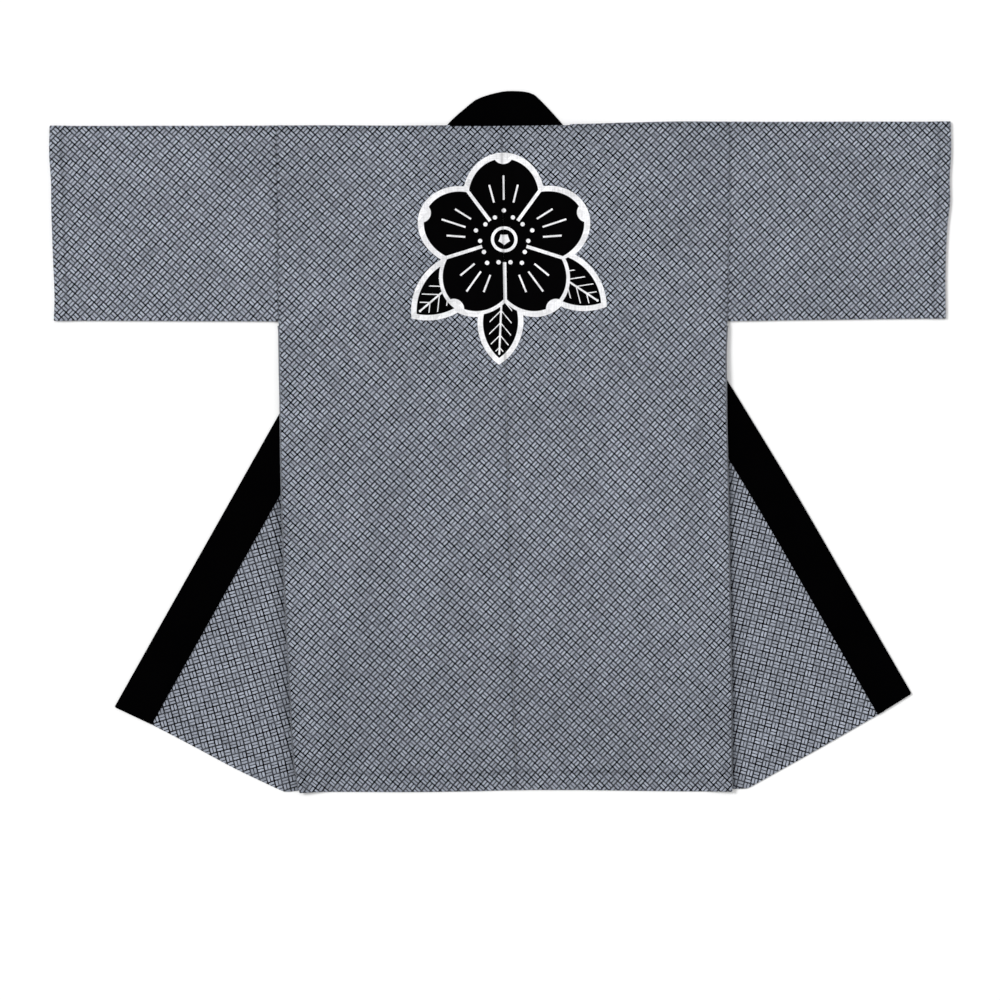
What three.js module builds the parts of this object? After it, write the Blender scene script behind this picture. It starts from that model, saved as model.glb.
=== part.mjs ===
// A hanten, the short straight festival coat, laid flat on its front with its back up.
// X runs across the shoulders, Y from hem to neck, Z up from the surface that it lies on. All sizes are in mm.
// Each body panel is one length of cloth: back, fold over the shoulder, front. The collar side of each front is
// folded under along a line from the neck to the hem corner, so that it sticks out with its outer side up.
import * as THREE from 'three';

// Cloth and seams
const CLOTH = 1.2; // wall of the cotton cloth
const GAP = 0.3; // clearance between sewn pieces
const AIR = 1.0; // air left between cloth layers that lie loosely on each other
const COLLAR_THICKNESS = 2.6; // the collar band is folded double over its seam

// Garment
const BODY_LENGTH = 870; // shoulder fold to hem
const COLLAR_RISE = 44; // how far the collar stands out beyond the shoulder fold
const COLLAR_WIDTH = 49;
const SLEEVE_PUFF = 1.4; // the upper layer of a sleeve rises this far in its middle
const SHOULDER_Y = (BODY_LENGTH + COLLAR_RISE) / 2 - COLLAR_RISE;
const HEM_Y = SHOULDER_Y - BODY_LENGTH;
const FRONT_SHORT = 3; // the back hem covers the folded corner of each front by this much

// How softly cloth comes down beside what lies under it
const SPREAD = 80; // beside the collar
const SETTLE = 50; // inward of the fold under the back
const FOLD_CLEAR = 4; // the back stays up this far past the fold
const DRAPE = 0.2; // extra clearance where cloth bends over the collar's edge
const FOLD_START = 12; // the fold and the flap start this far below the collar's crossing of the fold
const SEAM_START = 49; // and the flap meets the collar seam this far below it

// Seams of the body at some drops below the shoulder fold: side seams and centre-back seam
const BODY_SEAMS = [
  { drop: 0, left: -289, centre: -5, right: 297 },
  { drop: 255, left: -290, centre: 3, right: 296 },
  { drop: 380, left: -288, centre: 6, right: 297.5 },
  { drop: 500, left: -283, centre: 9, right: 300 },
  { drop: 640, left: -281, centre: 13, right: 301 },
  { drop: 750, left: -275, centre: 17, right: 301.5 },
  { drop: 840, left: -266, centre: 20, right: 302.5 },
  { drop: 870, left: -262, centre: 21, right: 303.5 },
];

// The two sides differ a little, as the coat was laid by hand. Points are [x, drop below the shoulder fold].
const SIDES = [
  {
    name: 'left',
    sign: -1,
    neck: -65, // where the neck cut ends and the shoulder fold starts
    foldTop: [-43, 0], // the fold under the front runs from here to the hem corner
    collarFoot: { free: [-500, 757], seam: [-453, 777.5] },
    hemTurn: [-312, 856], // the folded-back hem turns here towards the corner
    collarHead: { free: [-73.5, 0], seam: [-17.5, 0] },
    cuff: [
      { drop: 3, x: -585 },
      { drop: 60, x: -585.5 },
      { drop: 125, x: -584.5 },
      { drop: 160, x: -581.5 },
      { drop: 255, x: -580 },
    ],
    sleeveDepth: 257,
  },
  {
    name: 'right',
    sign: 1,
    neck: 90,
    foldTop: [69, 0],
    collarFoot: { free: [532.5, 740], seam: [493.5, 766] },
    hemTurn: [353, 848],
    collarHead: { free: [102, 0], seam: [30, 0] },
    cuff: [
      { drop: -2, x: 585 },
      { drop: 55, x: 585.5 },
      { drop: 105, x: 583.5 },
      { drop: 140, x: 580 },
      { drop: 252, x: 578 },
    ],
    sleeveDepth: 255,
  },
];

// The collar behind the neck, from the left leg to the right one: its free edge and its sewn edge
const COLLAR_ARCH = [
  { freeX: -70, freeDrop: -1, seamX: -24, seamDrop: 12 },
  { freeX: -57, freeDrop: -10, seamX: -16, seamDrop: 7 },
  { freeX: -44, freeDrop: -21, seamX: -10, seamDrop: 6 },
  { freeX: -34, freeDrop: -30, seamX: -6, seamDrop: 6 },
  { freeX: -26, freeDrop: -35, seamX: -2, seamDrop: 6 },
  { freeX: -12, freeDrop: -40.5, seamX: 2, seamDrop: 6 },
  { freeX: 4, freeDrop: -43.5, seamX: 6, seamDrop: 6 },
  { freeX: 16, freeDrop: -44, seamX: 11, seamDrop: 6 },
  { freeX: 30, freeDrop: -43.4, seamX: 16, seamDrop: 6 },
  { freeX: 39, freeDrop: -41, seamX: 20, seamDrop: 6 },
  { freeX: 46, freeDrop: -36, seamX: 23, seamDrop: 6 },
  { freeX: 61, freeDrop: -20, seamX: 28, seamDrop: 7 },
  { freeX: 77, freeDrop: -3, seamX: 33, seamDrop: 9 },
  { freeX: 97, freeDrop: 17, seamX: 41, seamDrop: 20 },
];

// Grid of the cloth solids
const NECK_COLUMNS = 4;
const SEAM_COLUMNS = 8; // of the flap, along the collar seam
const SHOULDER_COLUMNS = SEAM_COLUMNS + 2; // the flap's rim adds its top, its hem turn and its hem corner
const BACK_ROWS = 30;
const FRONT_ROWS = 24;
const FLAP_ROWS = 5;
const BEND_STEPS = 4;
const SLEEVE_COLUMNS = 9;
const SLEEVE_ROWS = 9;
const LEG_STATIONS = 8;

const mix = THREE.MathUtils.lerp;

function fall(distance, start, width) {
  return 1 - THREE.MathUtils.smoothstep(distance, start, start + width);
}

// A smooth curve through a table, read at one value of its key column
function readTable(table, key, column, value) {
  const last = table.length - 1;
  let row = 0;
  while (row < last - 1 && value > table[row + 1][key]) row += 1;
  const slope = (a, b) => (table[b][column] - table[a][column]) / (table[b][key] - table[a][key]);
  const step = table[row + 1][key] - table[row][key];
  const t = THREE.MathUtils.clamp((value - table[row][key]) / step, 0, 1);
  const startSlope = slope(Math.max(row - 1, 0), row + 1) * step;
  const endSlope = slope(row, Math.min(row + 2, last)) * step;
  const a = table[row][column];
  const b = table[row + 1][column];
  const bend = 3 * (b - a) - 2 * startSlope - endSlope;
  const twist = 2 * (a - b) + startSlope + endSlope;
  return a + t * (startSlope + t * (bend + t * twist));
}

// A straight line from one [x, y] point to another, with distances measured to the side of it
class Line {
  constructor(from, to) {
    this.from = from;
    const length = Math.hypot(to[0] - from[0], to[1] - from[1]);
    this.length = length;
    this.along = [(to[0] - from[0]) / length, (to[1] - from[1]) / length];
  }

  at(distance, aside = 0) {
    const [ax, ay] = this.along;
    return [this.from[0] + ax * distance - ay * aside, this.from[1] + ay * distance + ax * aside];
  }

  // Positive to the left of the line's direction
  aside([x, y]) {
    return this.along[0] * (y - this.from[1]) - this.along[1] * (x - this.from[0]);
  }

  // How far along this line another line crosses it
  crossing(other) {
    const start = other.aside(this.from);
    const end = other.aside(this.at(this.length));
    return (this.length * start) / (start - end);
  }

  distance([x, y]) {
    const ahead = this.along[0] * (x - this.from[0]) + this.along[1] * (y - this.from[1]);
    const [nearX, nearY] = this.at(THREE.MathUtils.clamp(ahead, 0, this.length));
    return Math.hypot(x - nearX, y - nearY);
  }
}

const toPoint = ([x, drop]) => [x, SHOULDER_Y - drop];

// Lines of each side: the fold under the front, and the seam and free edge of the collar leg
for (const side of SIDES) {
  const cornerDrop = BODY_LENGTH - FRONT_SHORT;
  side.hemCorner = toPoint([readTable(BODY_SEAMS, 'drop', side.name, cornerDrop), cornerDrop]);
  side.fold = new Line(toPoint(side.foldTop), side.hemCorner);
  side.seam = new Line(toPoint(side.collarHead.seam), toPoint(side.collarFoot.seam));
  side.free = new Line(toPoint(side.collarHead.free), toPoint(side.collarFoot.free));
  // Both distances are positive outward, away from the centre
  side.beyondFold = (point) => side.sign * side.fold.aside(point);
  side.beyondSeam = (point) => side.sign * side.seam.aside(point);
  side.inward = [-side.sign * Math.abs(side.fold.along[1]), -Math.abs(side.fold.along[0])];
}

// The collar's stations from the left foot over the neck to the right foot
function collarStations() {
  const leg = (side, part) => {
    const free = side.free.at(side.free.length * part);
    const seam = side.seam.at(side.seam.length * part, side.sign * GAP);
    return { free, seam };
  };
  const arch = COLLAR_ARCH.map((row) => ({
    free: toPoint([row.freeX, row.freeDrop]),
    seam: toPoint([row.seamX, row.seamDrop]),
  }));
  const legs = SIDES.map((side) => {
    const stations = [];
    for (let i = 1; i <= LEG_STATIONS; i += 1) stations.push(leg(side, i / LEG_STATIONS));
    return stations;
  });
  return [...legs[0].reverse(), ...arch, ...legs[1]];
}

const STATIONS = collarStations();

const COLLAR_MIDDLE = STATIONS.slice(1).map((station, i) => {
  const before = STATIONS[i];
  const middle = ({ free, seam }) => [(free[0] + seam[0]) / 2, (free[1] + seam[1]) / 2];
  return new Line(middle(before), middle(station));
});

// How high the collar holds up cloth that lies on it at a point
function collarLift(point) {
  const nearest = Math.min(...COLLAR_MIDDLE.map((line) => line.distance(point)));
  return (COLLAR_THICKNESS + GAP + DRAPE) * fall(nearest, COLLAR_WIDTH / 2, SPREAD);
}

// How high the flap and collar hold up the front on one side
function flapLift(side, point) {
  const flap = (CLOTH + GAP) * fall(side.beyondSeam(point), 0, SPREAD);
  return Math.max(flap, collarLift(point));
}

function frontHeight(side, point) {
  return CLOTH / 2 + flapLift(side, point);
}

// The back lies on both fronts, and on the surface between their folds
function backHeight(point) {
  let lift = collarLift(point);
  for (const side of SIDES) {
    const inward = -side.beyondFold(point);
    const layers = flapLift(side, point) + CLOTH + AIR;
    lift = Math.max(lift, layers * fall(inward, FOLD_CLEAR, SETTLE));
  }
  return CLOTH / 2 + lift;
}

// The middle surface of a piece of cloth, made of patches that share their edge points
class Cloth {
  constructor() {
    this.points = [];
    this.faces = [];
  }

  point(x, y, z) {
    this.points.push(new THREE.Vector3(x, y, z));
    return this.points.length - 1;
  }

  // Rows of point numbers; a quad between rows loses the edges that shrink to one point
  patch(rows) {
    for (let r = 1; r < rows.length; r += 1) {
      for (let c = 1; c < rows[r].length; c += 1) {
        const corners = [rows[r - 1][c - 1], rows[r - 1][c], rows[r][c], rows[r][c - 1]];
        this.triangle(corners[0], corners[1], corners[2]);
        this.triangle(corners[0], corners[2], corners[3]);
      }
    }
  }

  triangle(a, b, c) {
    if (a !== b && b !== c && c !== a) this.faces.push([a, b, c]);
  }

  flip() {
    this.faces = this.faces.map(([a, b, c]) => [a, c, b]);
  }

  // Points on a half turn from a start point to an end point below or above it, bulging along a direction
  bend(from, to, bulge) {
    const start = this.points[from];
    const end = this.points[to];
    const radius = Math.abs(start.z - end.z) / 2;
    const middle = (start.z + end.z) / 2;
    const numbers = [];
    for (let k = 1; k < BEND_STEPS; k += 1) {
      const turn = (Math.PI * k) / BEND_STEPS;
      const out = radius * Math.sin(turn);
      const z = middle + ((start.z - end.z) / 2) * Math.cos(turn);
      numbers.push(this.point(start.x + bulge[0] * out, start.y + bulge[1] * out, z));
    }
    return numbers;
  }

  // Rows of bends between two rows of points
  bendRows(fromRow, toRow, bulge) {
    const columns = fromRow.map((from, c) => this.bend(from, toRow[c], bulge));
    return columns[0].map((_, k) => columns.map((column) => column[k]));
  }

  // The closed wall: the middle surface moved out by half the thickness on both sides, with its edges closed
  solid() {
    const normals = this.points.map(() => new THREE.Vector3());
    const edgeA = new THREE.Vector3();
    const edgeB = new THREE.Vector3();
    for (const [a, b, c] of this.faces) {
      edgeA.subVectors(this.points[b], this.points[a]);
      edgeB.subVectors(this.points[c], this.points[a]);
      const normal = edgeA.cross(edgeB).normalize();
      for (const number of [a, b, c]) normals[number].add(normal);
    }
    const count = this.points.length;
    const positions = [];
    for (const half of [CLOTH / 2, -CLOTH / 2]) {
      this.points.forEach((point, i) => {
        const moved = point.clone().addScaledVector(normals[i].normalize(), half);
        positions.push(moved.x, moved.y, moved.z);
      });
    }
    const index = [];
    const directed = new Set();
    for (const [a, b, c] of this.faces) {
      index.push(a, b, c, a + count, c + count, b + count);
      for (const [from, to] of [[a, b], [b, c], [c, a]]) directed.add(`${from} ${to}`);
    }
    for (const edge of directed) {
      const [from, to] = edge.split(' ').map(Number);
      if (!directed.has(`${to} ${from}`)) {
        index.push(from, from + count, to, to, from + count, to + count);
      }
    }
    return makeGeometry(positions, index);
  }
}

function makeGeometry(positions, index) {
  const geometry = new THREE.BufferGeometry();
  geometry.setAttribute('position', new THREE.Float32BufferAttribute(positions, 3));
  geometry.setIndex(index);
  const flat = geometry.toNonIndexed();
  flat.computeVertexNormals();
  return flat;
}

function makeBodyPanel(side) {
  const cloth = new Cloth();
  const out = side.sign;
  const backPoint = (x, y) => cloth.point(x, y, backHeight([x, y]));
  const frontPoint = (point) => cloth.point(point[0], point[1], frontHeight(side, point));
  const foldY = SHOULDER_Y - CLOTH - AIR / 2;
  const neckColumns = NECK_COLUMNS + 1;

  // Back, from the hem up to the neck cut and the shoulder
  const back = [];
  for (let r = 0; r <= BACK_ROWS; r += 1) {
    const y = mix(HEM_Y, foldY, r / BACK_ROWS);
    const drop = SHOULDER_Y - y;
    const inner = readTable(BODY_SEAMS, 'drop', 'centre', drop) + (out * GAP) / 2;
    const outer = readTable(BODY_SEAMS, 'drop', side.name, drop) - (out * GAP) / 2;
    const row = [];
    for (let c = 0; c < neckColumns; c += 1) row.push(backPoint(mix(inner, side.neck, c / NECK_COLUMNS), y));
    for (let c = 1; c <= SHOULDER_COLUMNS; c += 1) {
      row.push(backPoint(mix(side.neck, outer, c / SHOULDER_COLUMNS), y));
    }
    back.push(row);
  }
  cloth.patch(back);

  // Front, from the shoulder down to the line of its fold
  const foldStart = side.fold.crossing(side.seam) + FOLD_START;
  const shoulder = back[BACK_ROWS].slice(NECK_COLUMNS);
  const front = [];
  for (let r = 0; r <= FRONT_ROWS; r += 1) {
    const row = shoulder.map((number, c) => {
      const top = cloth.points[number];
      const along = mix(foldStart, side.fold.length, c / SHOULDER_COLUMNS);
      const bottom = side.fold.at(along);
      const part = r / FRONT_ROWS;
      const y = mix(top.y, bottom[1], part);
      let x = mix(top.x, bottom[0], part);
      if (c === SHOULDER_COLUMNS) {
        x = readTable(BODY_SEAMS, 'drop', side.name, SHOULDER_Y - y) - (out * GAP) / 2;
      }
      return frontPoint([x, y]);
    });
    front.push(row);
  }
  cloth.patch([shoulder, ...cloth.bendRows(shoulder, front[0], [0, 1]), front[0]]);
  cloth.patch(front);

  // Flap, from the fold out to the collar seam and the folded-back hem
  const foldRow = front[FRONT_ROWS];
  const underRow = foldRow.map((number) => {
    const { x, y } = cloth.points[number];
    return cloth.point(x, y, CLOTH / 2);
  });
  cloth.patch([foldRow, ...cloth.bendRows(foldRow, underRow, side.inward), underRow]);
  const seamTop = side.seam.at(side.seam.crossing(side.fold) + SEAM_START);
  const seamSide = new Line(seamTop, toPoint(side.collarFoot.seam));
  const rim = [side.fold.at(foldStart)];
  for (let c = 0; c < SEAM_COLUMNS; c += 1) rim.push(seamSide.at((seamSide.length * c) / (SEAM_COLUMNS - 1)));
  rim.push(toPoint(side.hemTurn), side.hemCorner);
  const flap = [underRow];
  for (let r = 1; r <= FLAP_ROWS; r += 1) {
    const row = underRow.map((number, c) => {
      if (c === 0 || c === SHOULDER_COLUMNS) return number;
      const start = cloth.points[number];
      const end = rim[c];
      const part = r / FLAP_ROWS;
      return cloth.point(mix(start.x, end[0], part), mix(start.y, end[1], part), CLOTH / 2);
    });
    flap.push(row);
  }
  cloth.patch(flap);
  if (out < 0) cloth.flip();
  return cloth.solid();
}

// A sleeve is a flattened tube from the armhole seam to the open wrist
function makeSleeve(side) {
  const cloth = new Cloth();
  const radius = (CLOTH + AIR) / 2;
  const edge = radius + CLOTH / 2;
  const lowZ = CLOTH / 2;
  const highZ = lowZ + 2 * radius;
  const armhole = side.cuff.map(({ drop }) => {
    const part = (drop - side.cuff[0].drop) / (side.cuff[side.cuff.length - 1].drop - side.cuff[0].drop);
    return mix(0, side.sleeveDepth, part);
  });
  const cuffDrops = side.cuff.map(({ drop }) => drop);
  const cuffTable = side.cuff.map((row, i) => ({ part: armhole[i] / side.sleeveDepth, x: row.x }));
  const ring = (along) => {
    const topDrop = mix(0, cuffDrops[0], along) + edge;
    const bottomDrop = mix(side.sleeveDepth, cuffDrops[cuffDrops.length - 1], along) - edge;
    const place = (part, z) => {
      const drop = mix(topDrop, bottomDrop, part);
      const inner = readTable(BODY_SEAMS, 'drop', side.name, drop) + (side.sign * GAP) / 2;
      const x = mix(inner, readTable(cuffTable, 'part', 'x', part), along);
      return cloth.point(x, SHOULDER_Y - drop, z);
    };
    const swell = Math.sin(Math.PI * along) ** 0.5;
    const lower = [];
    const upper = [];
    for (let r = 0; r <= SLEEVE_ROWS; r += 1) {
      const part = r / SLEEVE_ROWS;
      upper.push(place(part, highZ + SLEEVE_PUFF * swell * Math.sin(Math.PI * part)));
      lower.push(place(part, lowZ));
    }
    const underarm = cloth.bend(upper[SLEEVE_ROWS], lower[SLEEVE_ROWS], [0, -1]);
    const top = cloth.bend(lower[0], upper[0], [0, 1]);
    return [...upper, ...underarm, ...lower.reverse(), ...top, upper[0]];
  };
  const rings = [];
  for (let c = 0; c <= SLEEVE_COLUMNS; c += 1) rings.push(ring(c / SLEEVE_COLUMNS));
  cloth.patch(rings);
  if (side.sign > 0) cloth.flip();
  return cloth.solid();
}

// The collar band lies flat, with a rounded free edge and a square sewn edge
function makeCollar() {
  const radius = COLLAR_THICKNESS / 2;
  const positions = [];
  const index = [];
  const rings = STATIONS.map(({ free, seam }) => {
    const across = new THREE.Vector2(free[0] - seam[0], free[1] - seam[1]);
    const width = across.length();
    across.divideScalar(width);
    const ring = [];
    const add = (reach, z) => {
      positions.push(seam[0] + across.x * reach, seam[1] + across.y * reach, z);
      ring.push(positions.length / 3 - 1);
    };
    add(0, 0);
    for (let k = 0; k <= BEND_STEPS; k += 1) {
      const turn = Math.PI * (k / BEND_STEPS - 0.5);
      add(width - radius + radius * Math.cos(turn), radius + radius * Math.sin(turn));
    }
    add(0, COLLAR_THICKNESS);
    return ring;
  });
  for (let s = 1; s < rings.length; s += 1) {
    rings[s].forEach((a, k) => {
      const next = (k + 1) % rings[s].length;
      const b = rings[s][next];
      const c = rings[s - 1][next];
      const d = rings[s - 1][k];
      index.push(a, c, b, a, d, c);
    });
  }
  const first = rings[0];
  const last = rings[rings.length - 1];
  for (let k = 1; k < first.length - 1; k += 1) {
    index.push(first[0], first[k + 1], first[k]);
    index.push(last[0], last[k], last[k + 1]);
  }
  return makeGeometry(positions, index);
}

const printedCotton = () => new THREE.MeshStandardMaterial({ color: 0x71757e, roughness: 0.85, metalness: 0 });
const blackCotton = () => new THREE.MeshStandardMaterial({ color: 0x060506, roughness: 0.8, metalness: 0 });

const hanten = new THREE.Group();

function addPiece(name, geometry, material) {
  const mesh = new THREE.Mesh(geometry, material);
  mesh.name = name;
  hanten.add(mesh);
}

for (const side of SIDES) {
  addPiece(`body_${side.name}`, makeBodyPanel(side), printedCotton());
  addPiece(`sleeve_${side.name}`, makeSleeve(side), printedCotton());
}
addPiece('collar', makeCollar(), blackCotton());

export default hanten;
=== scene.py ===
import math

import bpy
import numpy as np
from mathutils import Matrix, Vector
from mathutils.bvhtree import BVHTree


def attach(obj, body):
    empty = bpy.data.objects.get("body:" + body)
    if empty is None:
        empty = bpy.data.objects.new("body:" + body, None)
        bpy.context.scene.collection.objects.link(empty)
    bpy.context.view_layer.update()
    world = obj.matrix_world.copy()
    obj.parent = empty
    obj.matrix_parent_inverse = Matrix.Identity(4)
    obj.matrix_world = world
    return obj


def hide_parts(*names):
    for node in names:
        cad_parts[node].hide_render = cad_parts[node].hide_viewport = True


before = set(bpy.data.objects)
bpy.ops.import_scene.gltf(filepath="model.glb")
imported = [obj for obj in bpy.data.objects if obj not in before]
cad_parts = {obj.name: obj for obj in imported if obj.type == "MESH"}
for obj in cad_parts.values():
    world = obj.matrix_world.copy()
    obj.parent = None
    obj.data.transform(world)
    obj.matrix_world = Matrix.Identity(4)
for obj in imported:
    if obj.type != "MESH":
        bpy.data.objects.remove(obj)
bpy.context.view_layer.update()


# Camera, floor and light.
# The coat lies flat with its back up and is seen from straight above. Under it is a pale board, and a
# far soft light shines in from the upper left of an even white room.
FRAME_WIDTH = 1.3  # metres of floor across the picture
FRAME_CENTRE = (-0.00065, -0.07605)
CAMERA_LENS = 0.1
CAMERA_SENSOR = 0.036
CAMERA_HEIGHT = FRAME_WIDTH * CAMERA_LENS / CAMERA_SENSOR
FLOOR_DROP = 0.0002  # the board lies this far below the cloth
FLOOR_SIZE = 40
ROOM_LIGHT = 0.72
SOFT_LIGHT = 2.1
SOFT_LIGHT_FROM = (-1.5, 0.8, 1.35)
SOFT_LIGHT_ANGLE = math.radians(20)  # how wide the soft light looks from the coat


bpy.ops.object.select_all(action="DESELECT")
bpy.ops.object.camera_add(location=(*FRAME_CENTRE, CAMERA_HEIGHT), rotation=(0, 0, 0))
camera = bpy.context.object
camera.name = "camera_above"
camera.data.lens = CAMERA_LENS * 1000
camera.data.sensor_width = CAMERA_SENSOR * 1000
bpy.context.scene.camera = camera

room = bpy.data.worlds.new("white_room")
room.use_nodes = True
background = room.node_tree.nodes["Background"].inputs
background["Color"].default_value = (1, 1, 1, 1)
background["Strength"].default_value = ROOM_LIGHT
bpy.context.scene.world = room
bpy.ops.object.light_add(type="SUN", location=SOFT_LIGHT_FROM)
light = bpy.context.object
light.name = "soft_light"
light.rotation_euler = light.location.to_track_quat("Z", "Y").to_euler()
light.data.angle = SOFT_LIGHT_ANGLE
light.data.energy = SOFT_LIGHT
bpy.context.scene.view_settings.view_transform = "Standard"

bpy.ops.mesh.primitive_plane_add(size=FLOOR_SIZE, location=(0, 0, -FLOOR_DROP))
floor = bpy.context.object
floor.name = "pale_board"
paint = bpy.data.materials.new("pale_board")
paint.use_nodes = True
board_shader = paint.node_tree.nodes["Principled BSDF"].inputs
board_shader["Base Color"].default_value = (0.93, 0.93, 0.93, 1)
board_shader["Roughness"].default_value = 0.9
board_shader["Specular IOR Level"].default_value = 0.1
floor.data.materials.append(paint)


# Collar band.
# One long strip of black cotton, folded lengthwise over the raw edges of the fronts and the neck and
# sewn through. Its legs lie with the folded-back fronts, and its middle stands out behind the neck.
MM = 0.001
BODY_LENGTH = 870 * MM  # shoulder fold to hem
COLLAR_RISE = 44 * MM  # how far the collar stands out beyond the shoulder fold
COLLAR_WIDTH = 49 * MM
SHOULDER_Y = (BODY_LENGTH + COLLAR_RISE) / 2 - COLLAR_RISE
HEM_Y = SHOULDER_Y - BODY_LENGTH
FRONT_SHORT = 3 * MM  # the back hem covers the folded corner of each front by this much

# Seams of the body: drop below the shoulder fold, left side seam, centre-back seam, right side seam
BODY_SEAMS = MM * np.array([
    (0, -291.5, 2, 298.3),
    (130, -290, 3.5, 297.3),
    (255, -288.3, 5.5, 294.6),
    (310, -287.3, 6.5, 292.8),
    (380, -286.4, 8, 294),
    (500, -284.3, 10.5, 296.8),
    (640, -279.4, 14.5, 299),
    (750, -273.2, 17, 301),
    (800, -271.2, 18.5, 301),
    (840, -267.5, 20, 301),
    (870, -262, 21, 302),
])
CENTRE_SEAM = 2

# Where the hands left the coat's edges: x, how far the shoulder fold and the hem lie up from straight lines
LAID = MM * np.array([
    (-590, 0.2, 0),
    (-460, -1.1, -1.2),
    (-400, -1.6, -1.6),
    (-345, -2.1, -2.7),
    (-300, -2.4, -1.0),
    (-262, -2.2, 1.0),
    (-230, -2.1, 2.4),
    (-115, -2.6, 2.2),
    (-30, -2.2, 3.4),
    (25, -1.6, 4.8),
    (100, -0.8, 4.8),
    (165, 1.4, 4.0),
    (236, 2.9, 3.2),
    (320, 2.2, 2.8),
    (450, 1.5, 0),
    (590, 0.6, 0),
])
LAID_REACH = {"shoulder": 200 * MM, "hem": 260 * MM}  # how far each of them reaches into the coat

# The two sides differ a little, as the coat was laid by hand. Points are (x, drop below the shoulder).
SIDES = {
    "left": {
        "sign": -1,
        "seam_column": 1,
        "neck": -65,
        "fold_top": (-43, 0),
        "hem_turn": (-280, 868),
        "collar_head": {"free": (-75, 0), "seam": (-16.3, 0)},
        "collar_foot": {"free": (-501, 757), "seam": (-453.4, 779)},
        "collar_bow": 0,
        "cuff": [
            (3, -585), (40, -585.5), (75, -583.2), (110, -582.8), (165, -581), (225, -578.6), (256, -579.5),
        ],
        "sleeve_depth": 257,
    },
    "right": {
        "sign": 1,
        "seam_column": 3,
        "neck": 90,
        "fold_top": (69, 0),
        "hem_turn": (321, 866),
        "collar_head": {"free": (106, 0), "seam": (46, 0)},
        "collar_foot": {"free": (533.5, 740), "seam": (490.5, 767)},
        "collar_bow": 13.5,  # the leg's upper part runs inward of its straight line
        "cuff": [
            (-2, 584), (38, 584.6), (70, 582.8), (102, 583.3), (133, 579.8), (195, 577.3), (253, 577.6),
        ],
        "sleeve_depth": 256.5,
    },
}

# The collar behind the neck from left to right: free edge x and drop, sewn edge x and drop
COLLAR_ARCH = [
    (-71, 1.9, -25, 13),
    (-58.5, -11.3, -17, 8),
    (-45, -22.7, -10, 6),
    (-34.5, -31.4, -6, 6),
    (-26, -35.7, -2, 6),
    (-13, -39.9, 2, 6),
    (3, -43.3, 6, 6),
    (15, -43.9, 11, 6),
    (29, -43.1, 16, 6),
    (39, -41, 20, 6),
    (46, -36.9, 23, 6),
    (61, -21.7, 28, 7),
    (77, -3.8, 33, 9),
    (94, 17, 41, 20),
]
BOW_FROM = 0.62  # share down the leg where its bow ends
LEG_PARTS = np.array((0.05, 0.12, 0.22, 0.35, 0.5, 0.65, 0.82, 1.0))  # shares down each leg that shape it
COLLAR_STEP = 5 * MM  # between the rings of the finished band
COLLAR_STITCHING = 3 * MM  # from the sewn edge
STITCHED_SHARE = 0.22  # of the band's length, from each foot: the stitches above it are hidden

# The band's layers over each other, by the height of their middle
BAND_CLOTH = 0.6 * MM
BAND_LOWER = 0.3 * MM
BAND_TURNING = 1.8 * MM  # the upper layer's raw edge, turned in under it
BAND_UPPER = 2.45 * MM
TURNING_WIDTH = 8 * MM
BAND_CROWN = 0.28 * MM  # the upper layer swells this much between its edges
BAND_LENGTH = 1.95  # rounded up, for the number of rings
CURVE_STEPS = 12  # between two stations of the band
BAND_POINTS = 9  # across each layer
BEND_STEPS = 8  # faces round a half turn of cloth
HALF_TURN = math.pi * np.arange(1, BEND_STEPS) / BEND_STEPS
SAME_POINT = 0.000001


def to_point(place):
    x, drop = place
    return np.array((x * MM, SHOULDER_Y - drop * MM))


def pairs(first, second):
    """Points or places on the flat cloth from their two numbers."""
    return np.stack(np.broadcast_arrays(first, second), axis=-1)


def fall(distance, start, width):
    """1 up to start, then softly down to 0 over width."""
    part = np.clip((distance - start) / width, 0.0, 1.0)
    return 1.0 - part * part * (3.0 - 2.0 * part)


def read_table(table, column, key):
    """A smooth curve through one column of a table, read at values of its first column."""
    keys, values = table[:, 0], table[:, column]
    last = len(keys) - 1
    row = np.clip(np.searchsorted(keys, key) - 1, 0, last - 1)
    before, after = np.maximum(row - 1, 0), np.minimum(row + 2, last)
    step = keys[row + 1] - keys[row]
    part = np.clip((key - keys[row]) / step, 0.0, 1.0)
    start_slope = (values[row + 1] - values[before]) / (keys[row + 1] - keys[before]) * step
    end_slope = (values[after] - values[row]) / (keys[after] - keys[row]) * step
    rise = values[row + 1] - values[row]
    bend = 3 * rise - 2 * start_slope - end_slope
    twist = start_slope + end_slope - 2 * rise
    return values[row] + part * (start_slope + part * (bend + part * twist))


class Line:
    """A straight line between two points on the floor, with distances to the side of it."""

    def __init__(self, start, end):
        self.start = np.array(start)
        self.length = float(np.hypot(*(np.array(end) - self.start)))
        self.along = (np.array(end) - self.start) / self.length
        self.across = np.array((-self.along[1], self.along[0]))

    def at(self, distance, aside=0.0):
        distance, aside = np.asarray(distance)[..., None], np.asarray(aside)[..., None]
        return self.start + self.along * distance + self.across * aside

    def aside(self, points):
        return (points - self.start) @ self.across

    def ahead(self, points):
        return (points - self.start) @ self.along

    def crossing(self, other):
        """How far along this line another line crosses it."""
        start, end = other.aside(self.start), other.aside(self.at(self.length))
        return self.length * start / (start - end)

    def distance(self, points):
        nearest = self.at(np.clip(self.ahead(points), 0, self.length))
        return np.linalg.norm(points - nearest, axis=-1)


def path_distance(points, path):
    """How far points lie from a path of joined straight lines."""
    lines = [Line(a, b) for a, b in zip(path[:-1], path[1:])]
    return np.min([line.distance(points) for line in lines], axis=0)


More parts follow.
